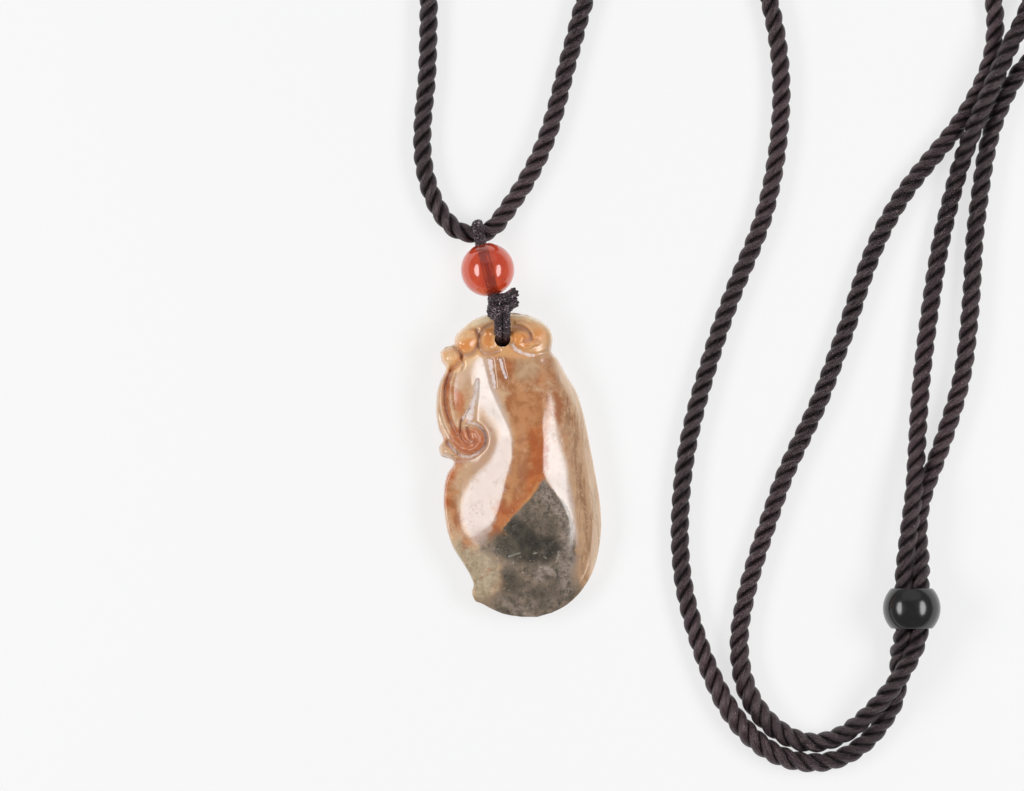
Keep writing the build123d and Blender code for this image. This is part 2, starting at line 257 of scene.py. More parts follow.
# The route of the cord's tube in the CAD part, with its two strands closer together at the foot
# of the loop. Each point is across, up and, off the table, the height of the middle line: 2.57 in
# the wrap, 4.8 where it lies on itself and 4.815 in the slider.
ON_TABLE = 1.6
NECK_CORD_ROUTE = (
    "-7.205,30.75,2.57 -9.5,30.8,2.57 -11.6,32.3,2.3 -13.7,35.2 -15.3,39.2 -16.2,44.3 "
    "-16,50.6 -15.3,56.4 -15.1,63.4 -15,71.8 -14.2,80.2 -11,87.6 -4.6,92.9 4.4,95.9 15,97.2 "
    "28,97.8 41,97.4 53,95.8 63.4,92.4 71.9,86.8 77,79.2 78.9,71.4 79.5,65.4 78.8,59.8 "
    "76.5,54.1 73,48.4 68.5,43.1 64.2,37.8 60.3,31.1 57.4,23.9 55.2,16.8 52.8,10.3 50.2,3.1 "
    "47.2,-3.1 44.3,-9.1 41.9,-16.1 39.6,-22.9 37.6,-29.9 36.4,-37.1 37.4,-44.6 40.55,-50 "
    "45.15,-53.4 49.6,-54.25 53.9,-52.8,1.8 57.2,-50.2,3.5 60.3,-47,4.6 63.2,-43.3,4.8 "
    "65.3,-39.7,4.8 66.75,-36,4.815 66.76,-31,4.815 66.76,-27,4.6 67,-24.2,2.7 66.5,-20.2 "
    "66.6,-16.2 67.5,-11.9 69.8,-6.2 72.1,0.6 74,7.3 74.9,14.8 75.5,22.3 75.8,29.8 "
    "76.7,36.8 77.7,43.9 79.1,49.4 81.5,55 84.7,59.6 90.2,62.8 97.4,63.6 103.4,67.4 "
    "105.4,74.2 102.6,81.2 96.2,84.3 89.9,81.2,2 86.6,74.4,3.2 84.4,67,4.4 81.6,62,4.8 "
    "79.5,57.1,4.8 77.3,52.1,4.8 75.2,47.2,3.8 73.5,42.3,2.2 71.9,36.4 70.3,29.8 69.1,22.8 "
    "68.1,15.6 67.2,8.4 66.6,1.1 66.2,-5.8,2.9 65.8,-11.9,4.5 65,-17.7,4.8 64.2,-23.9,4.815 "
    "63.91,-27.8,4.815 63.9,-32.2,4.815 63.92,-36.2,4.5 63.1,-39.1,2.2 63.3,-42.6 "
    "62.9,-46.6 61.2,-49.8 58.1,-53.8 53.8,-56.7 48.8,-57.55 43.4,-56.45 38.65,-53.2 "
    "34.7,-48.3 31.4,-41.4 29.1,-34.8 27.4,-28.1 26.7,-21 26.9,-13.5 27.7,-6.3 29.2,0.7 "
    "31.2,7.8 33.5,15.1 36.2,22.4 38.9,28.5 41.1,34.5 42.6,41.4 43.5,48.4 43.8,55.1 "
    "43.3,61.8 42.2,67.8 40.6,73.5 37.4,79 32.6,82.9 26.4,84.3 20.4,82.8 15.4,79 12.3,73.6 "
    "10.6,68.6 9.2,63.2 7.6,57.4 6.1,51.2 4.2,45.4 1.5,39.9 -1.1,36 -3.4,32.7,2.1 "
    "-5,31,2.57 -6.955,30.75,2.57")
PLY_COUNT = 3
PLY_RADIUS = 0.75
PLY_OFFSET = 0.83
PLY_PITCH = 7.9
RING_STEP = 0.34
# The plies lie looser round this place at the foot of the loop: its middle, how far it reaches
# and how much thicker the cord is there.
LOOSE_MIDDLE = (39.5, -50.0)
LOOSE_REACH = 11.0
LOOSE_SHARE = 0.17


def neck_cord_plies():
    """Three plies twisted round the cord's smooth line, their radius along it, and that line."""
    control = [(*point, ON_TABLE)[:3] for point in points_in(NECK_CORD_ROUTE)]
    line, marks = even_steps(nurbs_points(control), RING_STEP)
    away = np.hypot(line[:, 0] - LOOSE_MIDDLE[0], line[:, 1] - LOOSE_MIDDLE[1])
    swell = 1 + LOOSE_SHARE * np.exp(-(away / LOOSE_REACH) ** 2)
    line[:, 2] += (PLY_OFFSET + PLY_RADIUS) * (swell - 1)
    first, second = carried_frames(line)
    turns = round(marks[-1] / PLY_PITCH)
    plies = []
    for ply in range(PLY_COUNT):
        angle = 2 * math.pi * (turns * marks / marks[-1] + ply / PLY_COUNT)
        out = first * np.cos(angle)[:, None] + second * np.sin(angle)[:, None]
        plies.append(line + PLY_OFFSET * swell[:, None] * out)
    return plies, PLY_RADIUS * swell, line


def mark_valley_shade(mesh, line):
    """How deep each point lies between the plies, for the shade painted there: 0 on the cord's
    outside, 1 at its deepest.
    """
    tree = KDTree(len(line))
    for k, point in enumerate(line):
        tree.insert(point * MM, k)
    tree.balance()
    outside = (PLY_OFFSET + PLY_RADIUS) * MM
    depths = np.array([(outside - tree.find(v.co)[2]) / PLY_OFFSET / MM for v in mesh.vertices])
    valley_shade = mesh.attributes.new("valley_shade", "FLOAT", "POINT")
    valley_shade.data.foreach_set("value", np.clip(depths, 0, 1))


def twisted_satin_material():
    """Satin yarns and fibres that run along each ply, from its own UV map, with painted shade,
    darker and less glossy, where a mesh attribute says that the plies meet."""
    lines_round, lines_along, yarns = 3.2, 420.0, 9
    dark, light, glint = colour(7, 2, 4), colour(58, 41, 46), colour(168, 148, 150)
    shader = Shader("twisted_satin")
    split = shader.node("SeparateXYZ", shader.node("TexCoord").outputs["UV"])
    turn = shader.times(split.outputs[0], 2 * math.pi)
    around = shader.node(
        "CombineXYZ", shader.times(shader.maths("COSINE", turn), lines_round),
        shader.times(shader.maths("SINE", turn), lines_round),
        shader.times(split.outputs[1], lines_along)).outputs[0]
    fibres = shader.noise(around, 1.0, detail=3.0, roughness=0.6)
    specks = shader.noise(shader.place(), 2600.0, detail=2.0)
    lengths = shader.noise(shader.place(), 90.0, detail=2.0)
    drift = shader.times(shader.noise(around, 0.35, detail=1.0), 5.0)
    yarn = shader.maths("SINE", shader.plus(shader.times(turn, yarns), drift))
    yarn = shader.maths("MULTIPLY_ADD", yarn, 0.5, 0.5)
    share = shader.span(shader.total((fibres, 0.75), (yarn, 0.25)), 0.38, 0.72)
    tone = shader.mix(share, dark, light)
    tone = shader.mix(shader.span(lengths, 0.35, 0.7, 0.0, 0.35), tone,
                      shader.mix(1.0, tone, glint, "MULTIPLY"))
    tone = shader.mix(shader.span(specks, 0.62, 0.75, 0.0, 0.18), tone, glint)
    # Painted shade: darker colour and less gloss where the plies meet.
    valley_shade = shader.patch("valley_shade")
    tone = shader.mix(shader.span(valley_shade, 0.10, 0.60, 0.0, 0.75), tone, dark)
    relief = shader.total((fibres, 1), (specks, 0.20), (yarn, 0.7))
    shader.set(Base_Color=tone, Specular_IOR_Level=shader.span(valley_shade, 0.06, 0.50, 1.0, 0.4),
               Normal=shader.bump(relief, 0.06), Roughness=0.255, Sheen_Weight=0.07,
               Sheen_Roughness=0.4, Specular_Tint=colour(255, 228, 234))
    return shader.material


plies, ply_radius, cord_line = neck_cord_plies()
cord_mesh = tubes_mesh("neck_cord_plies", plies, [ply_radius] * PLY_COUNT)
mark_valley_shade(cord_mesh, cord_line)
neck_cord = add_piece(
    "neck_cord_plies", cord_mesh, twisted_satin_material(), "neck_cord")


# The two drilled beads.

SLIDER_MIDDLE = (65.33, -31.57, 4.815)
RED_BEAD_MIDDLE = (-5.22, 24.77, 4.48)
RED_BEAD_LEAN = math.radians(13.2)
BEAD_SIDES = 72
OUTSIDE_STEPS = 24
EDGE_STEPS = 6
BORE_STEPS = 8
MERGE_DISTANCE = 1e-7


def arc(middle, radius, start, end, steps):
    angles = [start + (end - start) * k / steps for k in range(steps + 1)]
    return [(middle[0] + radius * math.cos(a), middle[1] + radius * math.sin(a)) for a in angles]


def drilled_bead(name, middle, axis, diameter, bore, edge_radius):
    """A round bead turned about its bore, with rounded bore edges."""
    radius, bore_radius = diameter / 2, bore / 2
    corner = math.acos((bore_radius + edge_radius) / (radius - edge_radius))
    edge_middle = [(radius - edge_radius) * part for part in (math.cos(corner), math.sin(corner))]
    outside = arc((0, 0), radius, -corner, corner, OUTSIDE_STEPS)
    edge = arc(edge_middle, edge_radius, corner, math.pi, EDGE_STEPS)[1:]
    hole = [(bore_radius, edge_middle[1] * (1 - 2 * k / BORE_STEPS)) for k in range(1, BORE_STEPS)]
    profile = outside + edge + hole + [(x, -y) for x, y in reversed(edge)]
    build = bmesh.new()
    ring = [build.verts.new((x * MM, 0, y * MM)) for x, y in profile]
    edges = [build.edges.new((a, b)) for a, b in zip(ring, ring[1:] + ring[:1])]
    bmesh.ops.spin(build, geom=ring + edges, cent=(0, 0, 0), axis=(0, 0, 1), dvec=(0, 0, 0),
                   angle=2 * math.pi, steps=BEAD_SIDES, use_merge=True, use_duplicate=False)
    bmesh.ops.remove_doubles(build, verts=build.verts, dist=MERGE_DISTANCE)
    bmesh.ops.recalc_face_normals(build, faces=build.faces)
    build.transform(Vector(axis).to_track_quat("Z", "Y").to_matrix().to_4x4())
    bmesh.ops.translate(build, verts=build.verts, vec=Vector(middle) * MM)
    mesh = finished_mesh(name, build)
    mesh.shade_smooth()
    return mesh


def polished_material(name, tones, clouds, turns, grain, grain_height, **looks):
    """Polished stone of two tones: the scale, detail and distortion of its clouds, where they
    turn from one tone to the other, the scale and height of its grain, and its looks."""
    shader = Shader(name)
    pattern = shader.noise(shader.place(), *clouds[:2], distortion=clouds[2])
    tone = shader.mix(shader.span(pattern, *turns), *[colour(*tone) for tone in tones])
    bump = shader.bump(shader.noise(shader.place(), grain), grain_height)
    shader.set(Base_Color=tone, Normal=bump, IOR=1.54, **looks)
    return shader.material


black_stone = polished_material(
    "black_polished_stone", ((9, 8, 9), (30, 28, 28)), (420.0, 5.0, 0.0), (0.45, 0.72),
    900.0, 0.01, Roughness=0.20, Coat_Weight=0.5, Coat_Roughness=0.18, Subsurface_Weight=0.15,
    Subsurface_Radius=(0.6, 0.6, 0.6), Subsurface_Scale=0.002)
red_agate = polished_material(
    "red_agate", ((204, 70, 34), (222, 98, 56)), (260.0, 4.0, 0.6), (0.35, 0.7),
    700.0, 0.008, Roughness=0.11, Transmission_Weight=0.78, Coat_Weight=0.9,
    Coat_Roughness=0.13, Subsurface_Weight=0.25, Subsurface_Radius=(1.0, 0.35, 0.2),
    Subsurface_Scale=0.004)

slider_mesh = drilled_bead("slider_bead_turned", SLIDER_MIDDLE, (0, 1, 0),
                           diameter=9.63, bore=6.5, edge_radius=0.15)
slider = add_piece(
    "slider_bead_turned", slider_mesh, black_stone, "slider_bead")
red_bead_mesh = drilled_bead(
    "red_bead_turned", RED_BEAD_MIDDLE, (math.sin(RED_BEAD_LEAN), -math.cos(RED_BEAD_LEAN), 0),
    diameter=8.96, bore=1.9, edge_radius=0.25)
red_bead = add_piece(
    "red_bead_turned", red_bead_mesh, red_agate, "red_bead")
# Light passes through the clear bead to the table under it.
red_bead.visible_shadow = False

[tuple(p * MM) for p in cord_line[::2]]


# The carved jade.

STONE_LENGTH = 50.6
STONE_WIDTH = 27.6
STONE_FOOT = -33.0
STONE_LEFT = -13.83
STONE_ROWS = 330
STONE_COLUMNS = 176
# Rows and columns are partly even and partly closer together at the ends.
EVEN_SHARE, BUNCHED_SHARE = 0.8, 0.2

# Outline: share of the length above the foot, share of the width from the left.
LEFT_EDGE = (
    "0,0.518 0.007,0.428 0.021,0.355 0.042,0.281 0.054,0.235 0.081,0.217 0.105,0.226 "
    "0.135,0.207 0.186,0.151 0.236,0.096 0.306,0.06 0.374,0.046 0.43,0.051 0.471,0.069 "
    "0.509,0.108 0.518,0.09 0.531,0.028 0.556,0.018 0.582,0.042 0.622,0.014 0.682,0 "
    "0.733,0.004 0.773,0.023 0.819,0.06 0.844,0.032 0.869,0.028 0.887,0.06 0.897,0.108 "
    "0.919,0.114 0.96,0.181 0.993,0.301 1,0.43")
RIGHT_EDGE = (
    "0,0.614 0.015,0.705 0.043,0.798 0.095,0.89 0.16,0.954 0.236,0.987 0.306,0.998 "
    "0.372,0.991 0.463,0.964 0.545,0.936 0.647,0.899 0.733,0.853 0.803,0.779 0.845,0.738 "
    "0.875,0.696 0.914,0.705 0.941,0.692 0.97,0.641 0.993,0.548 1,0.47")

# Front before carving, a row for each height in the photograph: pixel v, then pixel u and
# height in millimetres at the left edge, the left slope's start, the hollow, the crease, the
# crown, the right crease, the right slope's end, the shoulder and the right edge.
FRONT = [
    (311, "490,4.4 495,4.6 500,4.8 505,4.9 509,5 514,4.9 519,4.8 524,4.6 529,4.4"),
    (318, "476,4.6 484,5 492,5.3 500,5.5 508,5.5 516,5.5 523,5.3 530,5 537,4.5"),
    (328, "458,4.6 469,5.3 483,5.9 495,6.3 510,6.4 525,6.3 536,5.9 545,5.3 551,4.4"),
    (345, "446,4.8 460,5.6 478,6.4 490,6.9 508,7.1 525,7 538,6.5 548,5.5 555,4"),
    (360, "440,5 458,5.85 475,6.5 486,7.25 508,7.55 530,6.95 543,6.35 553,5.3 561,3.8"),
    (370, "438,4.8 458,5.8 474,6.5 487,7.45 512,7.85 534,7.25 548,6.5 559,5.25 567,3.7"),
    (385, "436,4.8 460,5.9 472,6.45 490,7.8 515,8.2 538,7.85 551,7.15 565,5.45 575,3.6"),
    (400, "435,4.9 462,6 477,6.7 496,8.1 520,8.55 541,8.3 553,7.68 571,5.45 581,3.5"),
    (412, "435,4.7 466,5.9 483.5,6.75 501.5,8.1 524,8.7 542,8.5 553,7.9 574,5.3 585,3.4"),
    (425, "436,4.7 470,6.1 492,6.95 507,8.05 527,8.8 541.5,8.6 556,7.6 578,5 588,3.4"),
    (440, "437,4.7 470,6.1 499,7.3 511,8.2 529,8.95 543,8.75 559,7.55 582,4.9 591,3.4"),
    (455, "439,4.9 470,6 496,7.05 511,8.3 529,9.05 542.5,8.85 563,7.3 585,4.8 594,3.4"),
    (470, "441,4.8 462,5.55 482,6.35 508,8.25 528,9.1 542.5,8.9 567,7.1 588,4.7 597,3.3"),
    (487, "442,4.7 456,5.1 467,5.5 504,8.3 528,9.12 551,8.75 569.5,7.4 590,4.8 599,3.3"),
    (505, "442,4.6 451,4.85 460,5.15 500,8.15 528,9.05 563,8.3 571,7.7 592,4.9 601,3.2"),
    (522, "444,4.6 452,4.85 460,5.1 493,7.6 526,8.8 568.5,7.75 576,7.2 593,4.9 602,3.2"),
    (540, "449,4.6 459,4.9 469,5.3 487,6.4 524,8.15 568,7.3 578,6.5 592,4.7 601,3.1"),
    (560, "459,4.4 468,4.7 478,5.1 489,5.75 524,7.5 562,6.7 574,5.9 587,4.4 597,3"),
    (580, "468,4 477,4.35 486,4.8 497,5.4 525,6.7 555,6.1 568,5.2 579,4.2 589,2.9"),
    (597, "472,3.6 480,3.95 488,4.3 500,4.85 524,5.5 546,5.2 557,4.6 566,3.9 576,2.9"),
    (610, "488,2.9 497,3.5 505,3.7 512,3.9 524,4.2 538,4 545,3.7 551,3.4 558,2.8"),
    (620, "510,2.8 515,2.9 519,3 524,3 530,3 534,3 538,3 542,2.9 546,2.8"),
]
# Two of these nine tracks, counted from 0.
HOLLOW, RIGHT_SLOPE_END = 2, 6
# The raster of heights between them, in pixels.
RASTER_STEP = 0.5
RASTER_U = (430.0, 608.0)
RASTER_V = (309.0, 622.0)
# Its cells are softened over a few neighbours along and across the rows, and over more of them
# near the hollow, near the right slope's end and at the foot. The reaches are in pixels.
CRISP_SPREAD = (2.5, 3.0)
LOOSE_SPREAD = (8.0, 10.0)
HOLLOW_REACH = 9.0
SLOPE_END_REACH = 7.0
FOOT_TOP, FOOT_BORDER = 500, 36

# Where the front rounds over to the rim: the rim's height, how far the rounding rises and
# reaches inwards, how softly it meets the carved front and how far that sinks the join.
RIM_HEIGHT = 2.8
DOME_RISE, DOME_REACH = 3.2, 1.6
JOIN_SPAN, JOIN_SINK = 0.9, 0.45
# Rings from the rim down to the flat back: how far in, and the height.
RIM_RINGS = [(0.0, 2.1), (0.08, 1.3), (0.3, 0.6), (0.6, 0.18), (0.9, 0.0), (1.5, 0.0)]

HOLE_MIDDLE = (-2.75, 13.2)
HOLE_DIAMETER = 2.6
CUTTER_SIDES = 48
CUTTER_LENGTH = 30
# The relief behind the hole slopes in from the back and is open past the stone's top.
RELIEF_START, RELIEF_END = 9.9, 20.0
RELIEF_DEPTH, RELIEF_BELOW = 2.0, -1.0
RELIEF_WIDTH = 40
HAIR = 1e-4

# Rounded lobes: middle and half sizes in pixels, turn in degrees, height in millimetres and
# how full each is, from 0.6 for a flat top with a steep edge to 1.3 for a soft mound.
LOBES = {
    "cap_left": ((465, 342), (16, 13), -42, 0.85, 0.7),
    "cap_left_scoop": ((468, 345), (8.5, 6), -42, -0.6, 1.2),
    "bud": ((450, 357), (10.5, 11.5), 0, 1.05, 0.7),
    "cap_middle": ((489, 341), (10.5, 12.5), 20, 0.75, 0.7),
    "cap_middle_scoop": ((489, 337), (4.5, 5), 0, -0.35, 1.3),
    "cap_right_curl": ((520, 338), (11, 9), 15, 0.75, 0.7),
    "cap_right_scoop": ((527, 336), (4.5, 4.5), 0, -0.35, 1.3),
    "leaf_tip": ((534, 342.5), (7, 3.6), 8, 0.6, 0.9),
    "curl_boss": ((472, 438), (12.5, 13.5), 0, 0.75, 0.6),
    "low_bud": ((447.5, 452), (9.5, 6.8), -10, 0.9, 0.6),
    "band_swell": ((462, 392), (11, 26), -6, 0.12, 1.2),
}

# Carved lines: depth in millimetres at the start and end, below zero for a raised edge, half
# width in pixels at the start and end, how much pale powder is left in it, which also sets its
# painted shade, and its pixels.
CARVED_LINES = {
    "cap_left_groove": ((0.45, 0.55), (2.6, 2.6), 0.6,
        "477,331 479.5,340 475.5,350 467,355.5 458,352 453.5,346"),
    "cap_left_edge": ((-0.42, -0.3), (1.6, 1.5), 0, "458,341 463,334 469,330.5 474,331"),
    "bud_groove": ((0.5, 0.5), (2.4, 2.4), 0.4,
        "452.5,345.5 459.5,351 460.5,358 456,366 450,370"),
    "bud_edge": ((-0.15, -0.15), (1.3, 1.3), 0, "450.5,349 450,354 451,360"),
    "cap_middle_groove": ((0.4, 0.45), (1.8, 1.8), 0.6,
        "480,336 484.5,328.5 491,324.5 496.5,322"),
    "cap_middle_edge": ((-0.36, -0.36), (1.4, 1.6), 0, "486,330.5 482.5,337 483.5,344 489,348"),
    "cap_middle_under": ((0.55, 0.55), (2.3, 2.3), 0.6, "480,347 484,353 491,353.5 498,351.5"),
    "cap_curl_groove": ((0.52, 0.5), (2.6, 2.8), 0.6,
        "512,327 519,327.5 526,330 530.5,335 530,340 525.5,341"),
    "cap_curl_outer": ((-0.36, -0.34), (1.4, 1.5), 0, "516,323.5 524,325 531,330 534,336"),
    "cap_curl_edge": ((-0.25, -0.2), (1.3, 1.3), 0, "514,333.5 515.5,339 519.5,343"),
    "leaf_edge": ((-0.46, -0.42), (1.6, 1.5), 0, "514,342.5 520,346.5 528,347.5 536,344"),
    "leaf_groove": ((0.7, 0.55), (2.4, 2.1), 1, "512,344.5 516.5,350 524,353.8 533,355.5"),
    "cap_hem": ((0.3, 0.25), (2.5, 2.5), 0, "533,355.5 541,354 550,351.5"),
    "short_groove_left": ((0.6, 0.4), (3.2, 1.6), 1, "490,361 491.5,370 493.5,380 494.8,388"),
    "short_groove_right": ((0.5, 0.35), (2.5, 1.2), 1, "500.5,360.5 502.5,368 506,378"),
    "vee_groove": ((0.25, 0.85), (1, 4.6), 1, "477.5,380 476,390 474,399 471.5,408 470,418"),
    "vee_branch": ((0.5, 0.6), (1.2, 1.8), 0.9, "469.5,408 465.5,414 462,420"),
    "outer_crest": ((-0.32, -0.36), (1.9, 1.9), 0,
        "449,369 443,381 440.5,396 442,412 447,427 455.5,441 465,448.5"),
    "outer_recess": ((0.7, 0.55), (3.2, 2), 0.15,
        "451,371 446.5,383 445,397 447.5,413 452.5,426 457,434"),
    "inner_crest": ((-0.28, -0.2), (1.7, 1.5), 0, "454.5,371 451,384 450.5,400 453,415 458,429"),
    "band_root": ((0.5, 0.4), (1.5, 1.3), 0.4, "461.5,357 463,364 461.5,370"),
    "curl_dark_groove": ((0.7, 0.8), (1.6, 2), 0.1, "461,420 460.5,429 462.5,438 468,443.5"),
    "curl_outer_groove": ((0.75, 0.75), (1.7, 1.7), 0.9,
        "467.5,422.5 475,423.5 482,428.5 486,437 484.5,446 478.5,452.5 469.5,456.5 461.5,455.5 "
        "454,450 447.5,442"),
    "curl_ridge": ((-0.7, -0.45), (2.2, 2), 0,
        "455.5,441 462,448 470,450 477.5,446 480,438 476.5,431 471,429.5"),
    "curl_inner_groove": ((0.7, 0.5), (1.6, 1.6), 0.3, "467.5,427 469,434 471,441 475.5,441"),
    "low_bud_line": ((0.45, 0.4), (1.3, 1.3), 0.2, "442,456.5 448,456.5 454.5,459.5"),
    "left_waist": ((0.45, 0.1), (2.6, 3.4), 0.3, "452,461.5 462,461 474,459"),
    "right_bevel": ((-0.05, -0.13), (1.4, 1.7), 0,
        "566,380 576,408 584,438 589,465 592,492 594,518 593,545 588,568 580,584"),
}


def eased(share):
    """A share from 0 to 1 with soft ends."""
    share = np.clip(share, 0, 1)
    return share * share * (3 - 2 * share)


def smooth_through(points, steps=6):
    """A smooth line through the points, as an array."""
    places = np.array([points[0]] + list(points) + [points[-1]], float)
    line = []
    for a, b, c, d in zip(places, places[1:], places[2:], places[3:]):
        for t in np.linspace(0, 1, steps, endpoint=False):
            line.append(0.5 * (2 * b + (c - a) * t + (2 * a - 5 * b + 4 * c - d) * t**2
                               + (3 * b - a - 3 * c + d) * t**3))
    line.append(places[-1])
    return np.array(line)


def nearest_on(line, x, y):
    """Distance from each place to the line, and how far along the line it is nearest."""
    best = np.full(x.shape, 1e9)
    share = np.zeros(x.shape)
    for k, ((ax, ay), (bx, by)) in enumerate(zip(line, line[1:])):
        run = max((bx - ax) ** 2 + (by - ay) ** 2, 1e-9)
        t = np.clip(((x - ax) * (bx - ax) + (y - ay) * (by - ay)) / run, 0, 1)
        away = np.hypot(x - ax - t * (bx - ax), y - ay - t * (by - ay))
        nearer = away < best
        best = np.where(nearer, away, best)
        share = np.where(nearer, (k + t) / (len(line) - 1), share)
    return best, share


def inside_patch(corners, soft, u, v):
    """1 inside the outline, 0 outside, with a soft border of that many pixels."""
    corners = smooth_through(corners + [corners[0]], 4)
    within = np.zeros(u.shape, bool)
    for (ax, ay), (bx, by) in zip(corners, corners[1:]):
        if ay != by:
            crossing = (ay > v) != (by > v)
            within ^= crossing & (u < (bx - ax) * (v - ay) / (by - ay) + ax)
    away = nearest_on(corners, u, v)[0]
    return eased(0.5 + np.where(within, away, -away) / (2 * soft))


def smooth_table(shares, values, at):
    """Monotone smooth values of a table at the given shares."""
    shares, values = np.array(shares, float), np.array(values, float)
    slope = np.diff(values) / np.diff(shares)
    tangent = np.concatenate([[slope[0]], np.zeros(len(shares) - 2), [slope[-1]]])
    product, both = slope[:-1] * slope[1:], slope[:-1] + slope[1:]
    tangent[1:-1] = np.where(product > 0, 2 * product / np.where(both == 0, 1, both), 0)
    at = np.clip(at, shares[0], shares[-1])
    k = np.clip(np.searchsorted(shares, at, side="right") - 1, 0, len(shares) - 2)
    step = shares[k + 1] - shares[k]
    t = (at - shares[k]) / step
    return ((2 * t**3 - 3 * t**2 + 1) * values[k] + (t**3 - 2 * t**2 + t) * step * tangent[k]
            + (3 * t**2 - 2 * t**3) * values[k + 1] + (t**3 - t**2) * step * tangent[k + 1])


def soften(heights, spreads):
    """A soft mean of neighbours, spread over that many of them along rows and columns."""
    for spread, axis in zip(spreads, (1, 0)):
        reach = int(3 * spread)
        pad = [(0, 0), (0, 0)]
        pad[axis] = (reach, reach)
        padded = np.pad(heights, pad, mode="edge")
        total, weights = 0, 0
        for shift in range(-reach, reach + 1):
            weight = math.exp(-0.5 * (shift / spread) ** 2)
            first = reach + shift
            total = total + weight * padded.take(range(first, first + heights.shape[axis]), axis)
            weights += weight
        heights = total / weights
    return heights


def carved_lines(u, v):
    """For each carved line: distance from it, its half width and depth there, its powder."""
    for deep, wide, powder, pixels in CARVED_LINES.values():
        away, share = nearest_on(smooth_through(points_in(pixels)), u, v)
        yield (away, wide[0] + (wide[1] - wide[0]) * share,
               deep[0] + (deep[1] - deep[0]) * share, powder)


def carve(u, v):
    """How much the lobes and carved lines raise or lower the front, in millimetres."""
    change = np.zeros(u.shape)
    for (cu, cv), (half_u, half_v), turn, rise, fullness in LOBES.values():
        cosine, sine = math.cos(math.radians(turn)), math.sin(math.radians(turn))
        across = ((u - cu) * cosine + (v - cv) * sine) / half_u
        down = (-(u - cu) * sine + (v - cv) * cosine) / half_v
        change += rise * np.clip(1 - across**2 - down**2, 0, None) ** fullness
    for away, wide, deep, powder in carved_lines(u, v):
        change -= deep * np.exp(-(away / wide) ** 2)
    return change


def plain_front():
    """Heights before carving, on a square raster of the photograph's pixels."""
    rows_v = [v for v, row in FRONT]
    # The u and height of all rows, track by track from the left edge to the right.
    table = np.array([points_in(row) for v, row in FRONT]).transpose(1, 2, 0)
    v = np.arange(*RASTER_V, RASTER_STEP)
    u = np.arange(*RASTER_U, RASTER_STEP)
    tracks = np.array([[smooth_table(rows_v, values, v) for values in track] for track in table])
    heights = np.array([np.interp(u, tracks[:, 0, i], tracks[:, 1, i]) for i in range(len(v))])
    share = eased((v - FOOT_TOP) / FOOT_BORDER)[:, None]
    for track, reach in ((HOLLOW, HOLLOW_REACH), (RIGHT_SLOPE_END, SLOPE_END_REACH)):
        away = u[None, :] - tracks[track, 0][:, None]
        share = np.maximum(share, np.exp(-(away / reach) ** 2))
    return soften(heights, CRISP_SPREAD) * (1 - share) + soften(heights, LOOSE_SPREAD) * share


def read_raster(raster, u, v):
    """Heights between the raster's cells."""
    across = np.clip((u - RASTER_U[0]) / RASTER_STEP, 0, raster.shape[1] - 1.001)
    down = np.clip((v - RASTER_V[0]) / RASTER_STEP, 0, raster.shape[0] - 1.001)
    i, j = down.astype(int), across.astype(int)
    a, b = across - j, down - i
    upper = raster[i, j] * (1 - a) + raster[i, j + 1] * a
    lower = raster[i + 1, j] * (1 - a) + raster[i + 1, j + 1] * a
    return upper * (1 - b) + lower * b


def stations(steps):
    """Shares from 0 to 1, a little closer together at both ends."""
    t = np.linspace(0, 1, steps + 1)
    return EVEN_SHARE * t + BUNCHED_SHARE * (1 - np.cos(math.pi * t)) / 2


def stone_front():
    """Places of the front's rows and columns, as three arrays in millimetres."""
    up, station = stations(STONE_ROWS), stations(STONE_COLUMNS)
    left, right = [STONE_LEFT + STONE_WIDTH * smooth_table(*zip(*points_in(edge)), up)
                   for edge in (LEFT_EDGE, RIGHT_EDGE)]
    x = left[:, None] + station[None, :] * (right - left)[:, None]
    y = np.repeat((STONE_FOOT + STONE_LENGTH * up)[:, None], len(station), axis=1)
    u, v = to_pixel(x, y)
    heights = read_raster(plain_front(), u, v) + carve(u, v)
    border = np.concatenate([np.stack([x[:, 0], y[:, 0]], 1),
                             np.stack([x[:, -1], y[:, -1]], 1)[::-1]])
    border = np.concatenate([border, border[:1]])[::3]
    edge = nearest_on(border, x, y)[0]
    outwards = 1 - np.clip(edge / DOME_REACH, 0, 1)
    dome = RIM_HEIGHT + DOME_RISE * np.sqrt(np.clip(1 - outwards**2, 0, 1)) + edge
    share = np.clip(0.5 + (dome - heights) / JOIN_SPAN, 0, 1)
    return x, y, dome * (1 - share) + heights * share - JOIN_SINK * share * (1 - share)
